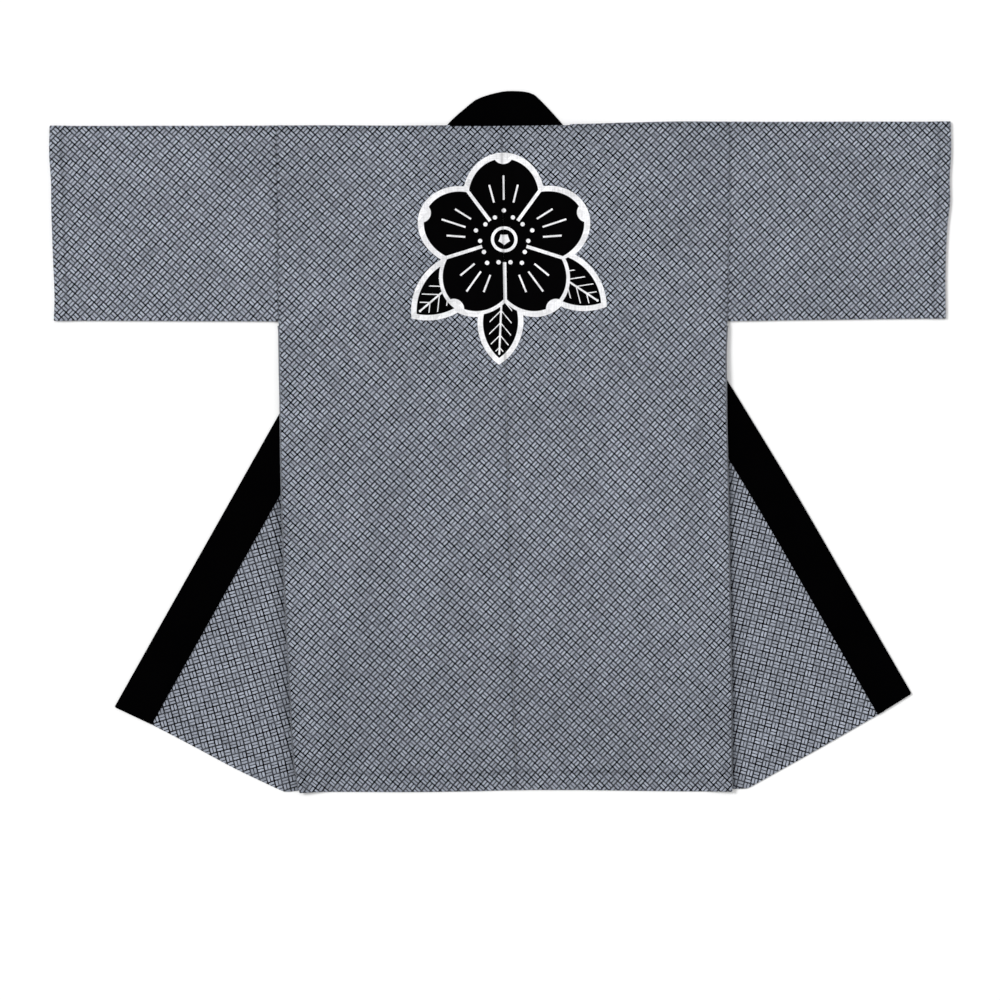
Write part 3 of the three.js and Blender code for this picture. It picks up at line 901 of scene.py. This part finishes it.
def make_body_panel(name):
    side = SIDES[name]
    sign = side["sign"]
    cloth = Cloth()
    fold_y = SHOULDER_Y - FOLD_RADIUS - CLOTH / 2
    neck = side["neck"] * MM

    # Back, from the turned-in hem up to the neck cut and the shoulder
    from_hem, row_below, way = hemmed_rows(fold_y - HEM_Y, HEM_ROWS, HEM_WIDTH, MM)
    row_y = HEM_Y + from_hem
    clean_y = np.maximum(row_y, HEM_Y)
    rows_at = pairs(0, clean_y)
    inner = seam_x(rows_at, CENTRE_SEAM) + sign * SEAM_PLAY
    underarm = SHOULDER_Y - side["sleeve_depth"] * MM
    closed = fall(clean_y, underarm - 14 * MM, 12 * MM)
    outer = seam_x(rows_at, side["seam_column"]) - sign * (SEAM_PLAY + SIDE_TURN * closed)
    to_neck = graded(abs(neck), 0.4 * MM, ROW_STEP, ROW_STEP) / abs(neck)
    to_side = graded(abs(outer[-1] - neck), ROW_STEP, 0.4 * MM, ROW_STEP) / abs(outer[-1] - neck)
    x = np.hstack([
        inner[:, None] + (neck - inner[:, None]) * to_neck[None],
        neck + (outer[:, None] - neck) * to_side[None, 1:],
    ])
    xy = pairs(x, clean_y[:, None])
    points = np.dstack([xy, np.maximum(back_height(xy) - row_below[:, None], CLOTH / 2)])
    points[:, :, 1] = row_y[:, None]
    flat_x = (x - inner[:, None]) / np.abs(outer - inner)[:, None] * CUT_WIDTH
    back = cloth.add(points, pairs(flat_x, HEM_Y + way[:, None]), back_shade(xy))
    cloth.patch(back)
    cloth.sewn.append(xy[np.argmax(row_y >= HEM_Y + HEM_WIDTH)])

    # Front, row by row from the shoulder down to the hem corner, between its fold and the side seam
    fold_from = side["fold"].crossing(side["seam"]) + FOLD_START
    fold_head = side["fold"].at(fold_from)
    corner_y = side["hem_corner"][1]
    front_rows = np.where(row_below == 0)[0]
    front_rows = front_rows[row_y[front_rows] >= corner_y - 0.01 * MM][::-1]
    front_y = row_y[front_rows]
    ahead = np.clip((fold_head[1] - front_y) / (fold_head[1] - corner_y), 0, 1)
    fold_x = side["fold"].at(fold_from + ahead * (side["fold"].length - fold_from))[:, 0]
    neck_part = np.clip((fold_y - front_y) / (fold_y - fold_head[1]), 0, 1)
    from_x = np.where(front_y > fold_head[1], neck + (fold_head[0] - neck) * neck_part, fold_x)
    to_x = outer[front_rows]
    from_x[-1] = to_x[-1] - sign * CORNER_PLAY
    x = from_x[:, None] + (to_x - from_x)[:, None] * to_side[None]
    xy = pairs(x, front_y[:, None])
    points = np.dstack([xy, front_base(side, xy)])
    shoulder_turn = math.pi * FOLD_RADIUS

    def front_flat(places):
        centre, edge = seam_x(places, CENTRE_SEAM), seam_x(places, side["seam_column"])
        across = (places[..., 0] - centre) / np.abs(edge - centre) * CUT_WIDTH
        return pairs(across, 2 * fold_y - places[..., 1] + shoulder_turn)

    front = cloth.add(points, front_flat(xy))
    shoulder = back[-1, -len(to_side):]
    cloth.patch(shoulder, cloth.bend(shoulder, front[0], (0, 1)), front)

    # Side seam, closed from the underarm down to the hem corner
    seam_rows = np.where(front_y < underarm - 3 * MM)[0]
    upper, lower = back[front_rows[seam_rows], -1], front[seam_rows, -1]
    cloth.patch(lower, cloth.bend(upper, lower, (sign, 0))[::-1], upper)

    # Flap, from the fold out to the collar seam and down to its own turned-in hem
    fold_rows = np.where(front_y <= fold_head[1])[0]
    fold_row = front[fold_rows, 0]
    share = (ahead[fold_rows] - ahead[fold_rows[0]]) / (1 - ahead[fold_rows[0]])
    seam_top = side["seam"].at(side["seam"].crossing(side["fold"]) + SEAM_START)
    seam_side = Line(seam_top, to_point(side["collar_foot"]["seam"]))
    fold_side = Line(fold_head, side["hem_corner"])
    hem_line = Line(side["hem_corner"], seam_side.at(seam_side.length))
    turn_point = to_point(side["hem_turn"])
    turn_at = hem_line.ahead(turn_point) / hem_line.length
    turn_out = hem_line.aside(turn_point)
    hem_length = hem_line.length + FLAP_ALLOWANCE
    columns = graded(hem_length, 0.8 * MM, 1.2 * MM, 6 * MM) / hem_line.length

    def flap_place(down, across):
        """Where a share down the flap and a share across it lie."""
        down, across = np.broadcast_arrays(down[:, None], across[None])
        start = fold_side.at(fold_side.length * down)
        end = seam_side.at(seam_side.length * down)
        before = np.exp(-FLAP_BEND * across / turn_at)
        after = np.exp(-FLAP_BEND * (1 - across) / (1 - turn_at))
        tent = -np.log(before + after) / FLAP_BEND
        place = start + (end - start) * across[..., None]
        bulge = turn_out * np.maximum(tent, 0) * down ** 8
        return place + hem_line.across * bulge[..., None]

    def flap_height(places, to_hem):
        inside = -beyond(side, "seam", places)
        lift = np.maximum(FLAP_RISE * fall(inside, 2 * MM, 14 * MM), hem_lift(to_hem))
        lift += pucker(np.abs(inside), places[..., 1])
        lift += stitched_line(to_hem - HEM_WIDTH, places[..., 0], STITCH_GROOVE, 1)
        return CLOTH / 2 + np.maximum(lift, 0)

    away, below, _ = turned_edge(HEM_WIDTH - 1 * MM, HEM_ROWS)
    strip_down = 1 - away[:-(BEND_STEPS - 1)][::-1] / fold_side.length
    down = np.concatenate([share, np.ones(BEND_STEPS - 1), strip_down])
    out = np.concatenate([0 * share, -away[-(BEND_STEPS - 1):][::-1], np.zeros(len(away) - BEND_STEPS + 1)])
    drop = np.concatenate([0 * share, below[::-1]])
    places = flap_place(down, columns)
    to_hem = (1 - down)[:, None] * fold_side.length
    height = np.maximum(flap_height(places, to_hem) - drop[:, None], CLOTH / 2)
    shade = flap_shade(name, places, to_hem)
    hem_out = -hem_line.across * math.copysign(1, hem_line.aside(fold_head))
    places = places + hem_out * out[:, None, None]
    on_stitches = 1 - HEM_WIDTH / fold_side.length
    stitches = flap_place(np.array([on_stitches]), columns[columns < 1])[0]
    shown = sign * (stitches[:, 0] - seam_x(stitches, side["seam_column"])) > 2 * MM
    cloth.sewn.append(stitches[shown])
    # The flap's flat place is found by folding it back along its fold
    mirrored = places - 2 * side["fold"].aside(places)[..., None] * side["fold"].across
    flap_flat = front_flat(mirrored)
    flap = cloth.add(np.dstack([places, height])[:, 1:], flap_flat[:, 1:], shade[:, 1:])
    under = cloth.add(np.dstack([places, height])[:len(share), 0], flap_flat[:len(share), 0])
    inward = -np.array((sign * abs(side["fold"].along[1]), abs(side["fold"].along[0])))
    cloth.patch(fold_row[:, None].T, cloth.bend(fold_row, under, inward), under[:, None].T)
    cloth.patch(np.hstack([under[:, None], flap[:len(share)]]).T)
    cloth.patch(flap[len(share) - 1:].T)
    return cloth


# The printed repeat: a square cell holds two bars, by shares of the cell
BAR_HALF_LENGTH = 0.4
BAR_HALF_WIDTH = 0.162
BAR_CENTRE = 0.235
BAR_CORNER = 0.08
BAR_SOFTNESS = 0.02
PATTERN_TURN = math.radians(44)
PALE_BARS = (0.365, 0.394, 0.46)
DARK_GROUND = (0.003, 0.0025, 0.003)
PALE_INSIDE = (0.31, 0.33, 0.37)
DARK_INSIDE = (0.025, 0.023, 0.025)
BARE_CLOTH = (0.86, 0.86, 0.88)  # the mark's outline


def make_bars_group():
    """Pairs of rounded bars in square cells set corner up, each pair across its neighbours."""
    inputs = {
        "Vector": (VECTOR, None),
        "Cell": (NUMBER, 0.00867),
        "Turn": (NUMBER, 0.8),
        "Ragged": (NUMBER, 0.0002),
    }
    group, source, target = new_group("paired_bars", inputs, {"Bars": NUMBER, "Cell tone": NUMBER})
    vector = source["Vector"]
    rough = add_node(group, "ShaderNodeTexNoise", {"Vector": vector, "Scale": 900.0, "Detail": 1.0})
    push = with_vectors("SUBTRACT", rough["Color"], (0.5, 0.5, 0.5))
    place = with_vectors("ADD", vector, with_vectors("SCALE", push, source["Ragged"]))
    turning = {"Vector": place, "Angle": source["Turn"]}
    turned = add_node(group, "ShaderNodeVectorRotate", turning, rotation_type="Z_AXIS")
    axes = add_node(group, "ShaderNodeSeparateXYZ", {0: turned[0]})
    scaled = [Value(axes[axis]) / source["Cell"] for axis in ("X", "Y")]
    cells = [reckoning("FLOOR")(value) for value in scaled]
    offsets = [fraction(value) - 0.5 for value in scaled]
    parity = reckoning("FLOORED_MODULO")(cells[0] + cells[1], 2.0)
    lengthwise, across = [
        Value(add_node(group, "ShaderNodeMix", {0: parity, 2: even, 3: odd})[0])
        for even, odd in (offsets, offsets[::-1])
    ]
    along = abs(lengthwise) - (BAR_HALF_LENGTH - BAR_CORNER)
    beside = abs(abs(across) - BAR_CENTRE) - (BAR_HALF_WIDTH - BAR_CORNER)
    outside = span(larger(along, 0.0), larger(beside, 0.0))
    edge = outside + smaller(larger(along, beside), 0.0) - BAR_CORNER
    cell = add_node(group, "ShaderNodeCombineXYZ", {0: cells[0], 1: cells[1]})
    tone = add_node(group, "ShaderNodeTexWhiteNoise", {"Vector": cell[0]}, noise_dimensions="2D")
    feed(target, {"Bars": remap(edge, BAR_SOFTNESS, -BAR_SOFTNESS), "Cell tone": tone["Value"]})
    return group


# The blossom on the back, centred on the seam: places on the flat cloth in metres
BLOSSOM_PLACE = (0.001, 0.263)
PETALS = 5
PETAL_REACH = 0.056  # from the middle of the blossom to the middle of a petal
PETAL_HALF = (0.045, 0.050)
NOTCH_PAST, NOTCH_RADIUS = 0.006, 0.013  # the notch's middle lies past the petal's tip
PETAL_GAP = 0.0022
VEINS = [(0.0, 0.052, 0.084), (0.25, 0.050, 0.074)]  # lean from a petal's middle, start and end
STAMENS = [(0.0, 0.038), (0.38, 0.031)]  # lean and reach
STAMEN_RADIUS = 0.0028
HEART_RADIUS, HEART_LINE = 0.015, 0.002
BOSS_RADIUS = 0.030  # inside this the petals are one dark boss
LEAF_HALF = (0.029, 0.060)
LEAVES = [(2.16, 0.094, 0.93), (-2.28, 0.094, 0.93), (3.2, 0.108, 0.78)]  # direction, distance, scale
LEAF_CLEAR = 0.0045  # from the petals
LEAF_RIM = 0.003
RIB_SLOPE, RIB_STEP, RIB_SHARE, RIB_REACH = 1.1, 0.016, 0.12, 0.62
SLIT = 0.0012
OUTLINE = 0.007
PRINT_SOFTNESS = 0.0002


def place_leaf(x, y, direction, distance, scale):
    """Distance from a leaf's edge, way along its rib, distance beside the rib and the ribs' reach."""
    half_width, half_length = LEAF_HALF[0] * scale, LEAF_HALF[1] * scale
    arc = (half_length ** 2 + half_width ** 2) / (2 * half_width)
    away, aside = math.cos(direction), math.sin(direction)
    ahead = x * aside + y * away - distance
    beside = abs(x * away - y * aside)
    return span(beside + (arc - half_width), ahead) - arc, ahead, beside, half_width * RIB_REACH


def make_blossom_group():
    """A blossom with leaves, dyed in black with cut-out veins and a broad pale outline."""
    outputs = {"Mark": NUMBER, "Ink": NUMBER}
    group, source, target = new_group("blossom", {"Vector": (VECTOR, None)}, outputs)
    moved = with_vectors("SUBTRACT", source["Vector"], (*BLOSSOM_PLACE, 0))
    axes = add_node(group, "ShaderNodeSeparateXYZ", {0: moved})
    x, y = Value(axes["X"]), Value(axes["Y"])

    # One petal stands for all five: the angle from the nearest petal's middle is used
    radius = span(x, y)
    sector = 2 * math.pi / PETALS
    angle = reckoning("ARCTAN2")(x, y)
    turn = abs(angle - reckoning("ROUND")(angle / sector) * sector)
    side_x, out_y = radius * sine(turn), radius * reckoning("COSINE")(turn)
    oval = span(side_x / PETAL_HALF[0], (out_y - PETAL_REACH) / PETAL_HALF[1])
    petal = (oval - 1.0) * PETAL_HALF[0]
    tip = PETAL_REACH + PETAL_HALF[1] + NOTCH_PAST
    notch = NOTCH_RADIUS - span(side_x, out_y - tip)

    to_gap = radius * sine(sector / 2 - turn)
    slits = [(to_gap < PETAL_GAP) * (radius > BOSS_RADIUS) * (petal < 0.0)]
    for lean, start, end in VEINS:
        slits.append((abs(radius * sine(turn - lean)) < SLIT) * (radius > start) * (radius < end))
    slits.append(abs(radius - HEART_RADIUS) < HEART_LINE)
    for lean, reach in STAMENS:
        to_dot = span(side_x - reach * math.sin(lean), out_y - reach * math.cos(lean))
        slits.append(to_dot < STAMEN_RADIUS)
    ink_edge, whole = larger(petal, notch), petal
    for leaf_place in LEAVES:
        leaf, ahead, beside, rib_end = place_leaf(x, y, *leaf_place)
        on_leaf = (leaf < -LEAF_RIM) * (petal > LEAF_CLEAR)
        slits.append((beside < SLIT) * on_leaf)
        rib = fraction((ahead - beside * RIB_SLOPE) / RIB_STEP)
        slits.append((rib < RIB_SHARE) * on_leaf * (beside < rib_end))
        ink_edge = smaller(ink_edge, larger(leaf, LEAF_CLEAR - petal))
        whole = smaller(whole, leaf)
    cut = slits[0]
    for slit in slits[1:]:
        cut = larger(cut, slit)
    ink = remap(ink_edge, PRINT_SOFTNESS, -PRINT_SOFTNESS) * (1.0 - cut)
    feed(target, {"Mark": remap(whole, OUTLINE + PRINT_SOFTNESS, OUTLINE - PRINT_SOFTNESS), "Ink": ink})
    return group


bars_group = make_bars_group()
blossom_group = make_blossom_group()


def make_printed_cotton(name, pale, dark):
    """Cotton dyed with paired bars, with the blossom in its place on the back."""
    finish, tree, shader = new_finish(name)
    flat = add_node(tree, "ShaderNodeUVMap", uv_map="flat_cloth")[0]
    bars = add_node(tree, "ShaderNodeGroup", {"Vector": flat, "Turn": PATTERN_TURN}, node_tree=bars_group)
    woven = {"Vector": flat, "Thread": PRINTED_THREAD}
    weave = add_node(tree, "ShaderNodeGroup", woven, node_tree=weave_group)
    blossom = add_node(tree, "ShaderNodeGroup", {"Vector": flat}, node_tree=blossom_group)
    # Painted shade, read from the seam_shade attribute: darker in the seams, at the stitched hems, under
    # the shoulder fold, along the side seams, on the flaps beside the body's edges and broadly over each
    # part
    painted_shade_share = Value(add_node(tree, "ShaderNodeAttribute", attribute_name="seam_shade")["Fac"])
    washed = noise(flat, 9.0, 3.0)
    shade = remap(washed, 0.3, 0.7, 0.94, 1.06) * remap(bars["Cell tone"], 0.0, 1.0, 0.88, 1.12)
    shade = shade * weave["Thread shade"] * (1.0 - painted_shade_share)
    # Where the dye has bled, the bars and their ground come closer to each other
    crisp = remap(noise(flat, 85.0, 1.0), 0.36, 0.58, 0.64, 1.0)
    printed = (Value(bars["Bars"]) - 0.5) * crisp + 0.5
    mark = blend(blossom["Ink"], (*BARE_CLOTH, 1), BLACK_DYE)
    colour = blend(blossom["Mark"], blend(printed, (*dark, 1), (*pale, 1)), mark)
    feed(shader, {
        "Base Color": with_vectors("SCALE", colour, shade),
        "Roughness": remap(washed, 0.0, 1.0, 0.8, 0.95),
        "Normal": relief(weave["Height"], 0.5, 0.00015),
        "Specular IOR Level": 0.015,
    })
    return finish


printed_cotton = make_printed_cotton("printed_cotton", PALE_BARS, DARK_GROUND)
printed_inside = make_printed_cotton("printed_cotton_inside", PALE_INSIDE, DARK_INSIDE)
both_faces = [printed_cotton, printed_inside]

for side_name, side in SIDES.items():
    panel_cloth = make_body_panel(side_name)
    faces_up = side["sign"] > 0
    panel = panel_cloth.make(f"body_{side_name}_cloth", CLOTH, both_faces, faces_up)
    panel_stitches = sew(f"body_{side_name}_stitches", panel, panel_cloth.sewn)
    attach(panel, "root")
    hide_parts(f"body_{side_name}")


# Sleeves, left and right.
# Each is one straight piece of the printed cotton folded at the top and sewn along the underarm. It is sewn
# to the body round the armhole, and the wrist is turned in and stitched. It lies flat, its wrist open.
SLEEVE_PUFF = 1.3 * MM  # the upper layer rises this far in its middle
CUFF_WIDTH = 15 * MM
CUFF_LIFT = 0.6 * MM  # the turned-in edge holds the two layers apart
LOWER_PINCH = 0.5 * MM  # the lower layer is drawn up this far in the armhole seam
SLEEVE_ON_CLOTH = 1.0  # the sleeves are cut from a part of the cloth without a blossom, this far along
CUFF_ROWS = MM * np.array((0, 1, 3, 6, 9.5, 12, 13.4, 14.2, 15, 15.8, 17, 20))
SLEEVE_TURN = {"left": 0.9, "right": -1.3}  # degrees that the sleeve's cloth lies turned
SLEEVE_BROAD_SHADE = {"left": 0.01, "right": 0.055}  # painted shade: the right sleeve is as dark as the back
SLEEVE_CREASES = {
    "left": [
        (-300, 190, -440, 280, 20, 1.0),
        (-310, 170, -520, 200, 15, 0.7),
        (-300, 390, -430, 340, 17, 0.7),
        (-450, 395, -560, 300, 22, 0.8),
        (-380, 250, -400, 180, 14, 0.5),
        (-500, 240, -570, 175, 16, 0.6),
    ],
    "right": [
        (305, 185, 420, 260, 22, 1.0),
        (320, 168, 500, 215, 14, 0.6),
        (310, 395, 450, 330, 19, 0.8),
        (470, 400, 565, 320, 18, 0.7),
        (400, 240, 385, 175, 13, 0.5),
        (520, 260, 560, 180, 17, 0.6),
    ],
}


def sleeve_rise(name, points, to_armhole, to_cuff):
    """How far the sleeve's upper layer rises over a flat one."""
    y = points[..., 1]
    height = ALLOWANCE_RISE * fall(to_armhole, 6 * MM, 4 * MM)
    height -= ARMHOLE_GROOVE * near(to_armhole, ARMHOLE_REACH)
    height += pucker(to_armhole, y) + crease_height(points, SLEEVE_CREASES[name])
    height += CUFF_LIFT * fall(to_cuff, CUFF_WIDTH, 10 * MM)
    return height + stitched_line(to_cuff - CUFF_WIDTH, y, STITCH_GROOVE, 0.8)


def sleeve_shade(name, points, to_armhole, to_cuff):
    seam = SEAM_SHADE * near(to_armhole, SEAM_SHADE_REACH)
    hem = HEM_SHADE * near(to_cuff - CUFF_WIDTH, HEM_SHADE_REACH)
    return with_broad_shade(np.maximum.reduce([seam, hem, shoulder_shade(points)]), SLEEVE_BROAD_SHADE[name])


def make_sleeve(name):
    side = SIDES[name]
    sign = side["sign"]
    cuff = MM * np.array(side["cuff"], float)
    depth = side["sleeve_depth"] * MM
    edge = FOLD_RADIUS + CLOTH / 2
    cuff_x = np.column_stack([(cuff[:, 0] - cuff[0, 0]) / (cuff[-1, 0] - cuff[0, 0]), cuff[:, 1]])
    length = abs(cuff[0, 1] - BODY_SEAMS[0, side["seam_column"]])
    from_cuff, below, way = hemmed_rows(length, CUFF_ROWS, CUFF_WIDTH, 0.4 * MM)
    inset = below[:, None]
    to_cuff = np.maximum(from_cuff, 0)[:, None]
    along = 1 - to_cuff / length
    out = np.maximum(-from_cuff, 0)[:, None]
    part = graded(depth, 1 * MM, 1 * MM, ROW_STEP) / depth

    def layer_place(parts):
        top = cuff[0, 0] * along + edge
        bottom = depth * (1 - along) + cuff[-1, 0] * along - edge
        drop = top + (bottom - top) * parts
        inner = read_table(BODY_SEAMS, side["seam_column"], drop) + sign * SEAM_PLAY
        x = inner + (read_table(cuff_x, 1, parts + 0 * drop) - inner) * along
        return pairs(x, SHOULDER_Y - drop)

    places = layer_place(part[None])
    to_cuff = to_cuff + 0 * part
    to_armhole = length - to_cuff
    swell = np.sqrt(np.sin(math.pi * np.clip(along, 0, 1)))
    rise = SLEEVE_PUFF * swell * np.sin(math.pi * part) + sleeve_rise(name, places, to_armhole, to_cuff)
    upper_z = CLOTH / 2 + 2 * FOLD_RADIUS + rise
    lower_z = CLOTH / 2 + LOWER_PINCH * near(to_armhole, ARMHOLE_REACH)

    def bend_place(column, direction, turns):
        """Points round the top fold or the underarm, from the upper layer to the lower one or back."""
        upper, lower = upper_z[:, column, None] - inset, lower_z[:, column, None] + inset
        half = (upper - lower) / 2
        y = places[:, column, 1, None] + direction * half * np.sin(turns)
        x = places[:, column, 0, None] + 0 * y
        return np.stack([x, y, (upper + lower) / 2 + half * np.cos(turns)], axis=-1)

    # Round the sleeve from the underarm seam: lower layer, top fold, upper layer and the underarm bend.
    # The tube closes over its first points, where the cloth's two edges meet in the seam.
    ring = np.concatenate([
        np.dstack([places, lower_z + inset])[:, ::-1],
        bend_place(0, 1, HALF_TURN[None, ::-1]),
        np.dstack([places, upper_z - inset]),
        bend_place(-1, -1, HALF_TURN[None]),
    ], axis=1)
    ring = np.concatenate([ring, ring[:, :1]], axis=1)
    ring[:, :, 0] += sign * out
    flat_x, flat_y = sign * (length - way)[:, None], -travelled(ring[-1])
    lean = math.radians(SLEEVE_TURN[name])
    flat = pairs(
        SLEEVE_ON_CLOTH + flat_x * math.cos(lean) + flat_y * math.sin(lean),
        flat_y * math.cos(lean) - flat_x * math.sin(lean),
    )
    layer_shade = sleeve_shade(name, places, to_armhole, to_cuff)
    bend_shade = np.zeros((len(places), len(HALF_TURN)))
    shade = np.hstack([layer_shade[:, ::-1], bend_shade, layer_shade, bend_shade, layer_shade[:, -1:]])
    cloth = Cloth()
    cloth.patch(cloth.add(ring, flat, shade))
    cloth.sewn.append(places[np.argmax(from_cuff >= CUFF_WIDTH)])
    return cloth


for side_name, side in SIDES.items():
    sleeve_cloth = make_sleeve(side_name)
    faces_up = side["sign"] < 0
    sleeve = sleeve_cloth.make(f"sleeve_{side_name}_cloth", CLOTH, both_faces, faces_up)
    sleeve_stitches = sew(f"sleeve_{side_name}_stitches", sleeve, sleeve_cloth.sewn)
    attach(sleeve, "root")
    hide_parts(f"sleeve_{side_name}")
